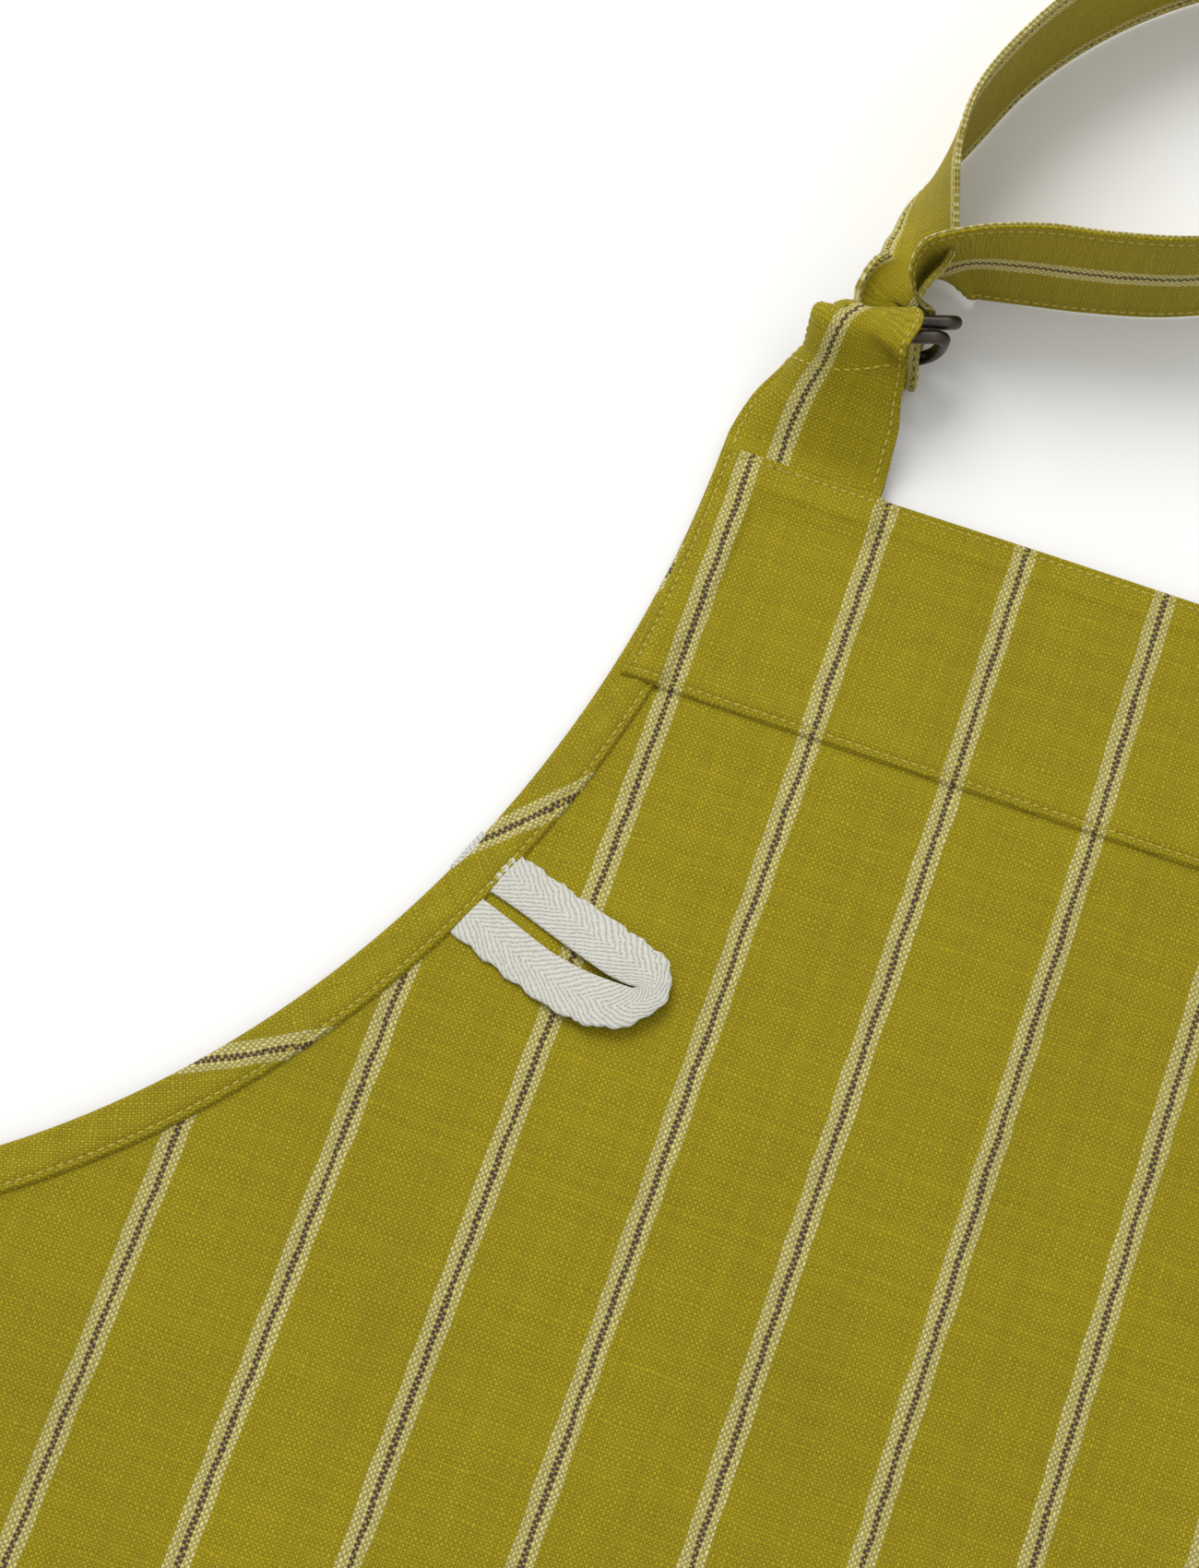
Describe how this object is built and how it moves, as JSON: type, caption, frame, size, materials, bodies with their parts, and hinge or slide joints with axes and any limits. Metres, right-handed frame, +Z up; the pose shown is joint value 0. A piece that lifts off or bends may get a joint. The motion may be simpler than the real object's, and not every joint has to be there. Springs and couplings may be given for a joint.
{
  "type": "bib apron",
  "caption": "Striped canvas bib apron lying inside up, with neck strap threaded through D-rings, tape hanging loop and waist ties.",
  "frame": {"origin": "middle of the whole apron's footprint, on the surface it lies on", "axes": "+Y from the hem towards the neck strap, +X across the apron, +Z up from the table, inside face up"},
  "size_m": [0.77, 1.0499, 0.0413],
  "materials": {
    "canvas": "plain-weave cotton canvas, woven stripes",
    "tape": "off-white herringbone twill tape",
    "ring_metal": "dark gun-metal wire, satin"
  },
  "bodies": {
    "apron": {"body_panel": "canvas", "bib_facing": "canvas", "armhole_facing_left": "canvas", "armhole_facing_right": "canvas"},
    "neck_loop": {"neck_tab": "canvas", "neck_strap": "canvas"},
    "front_ring": {"ring_front": "ring_metal"},
    "rear_ring": {"ring_rear": "ring_metal"},
    "hang_loop": {"hanging_loop": "tape"},
    "left_tie": {"waist_tie_left": "canvas"},
    "right_tie": {"waist_tie_right": "canvas"}
  },
  "joints": [
    {"name": "neck_loop_fold", "type": "hinge", "parent": "apron", "child": "neck_loop", "pos_m": [0, 0.33515, 0.0026], "axis": [1, 0, 0], "range_deg": [0, 135]},
    {"name": "front_ring_swing", "type": "hinge", "parent": "neck_loop", "child": "front_ring", "pos_m": [-0.1206, 0.3656, 0.023], "axis": [-0.9444, -0.3289, 0], "range_deg": [0, 10]},
    {"name": "rear_ring_swing", "type": "hinge", "parent": "neck_loop", "child": "rear_ring", "pos_m": [-0.11908, 0.37036, 0.023], "axis": [0.9444, 0.3289, 0], "range_deg": [0, 8]},
    {"name": "hang_loop_fold", "type": "hinge", "parent": "apron", "child": "hang_loop", "pos_m": [-0.1623, 0.2071, 0.0029], "axis": [-0.3579, -0.9338, 0], "range_deg": [0, 165]},
    {"name": "left_tie_fold", "type": "hinge", "parent": "apron", "child": "left_tie", "pos_m": [-0.35015, 0.058, 0.0025], "axis": [0, 1, 0], "range_deg": [0, 175]},
    {"name": "right_tie_fold", "type": "hinge", "parent": "apron", "child": "right_tie", "pos_m": [0.35015, 0.058, 0.0025], "axis": [0, -1, 0], "range_deg": [0, 175]}
  ]
}
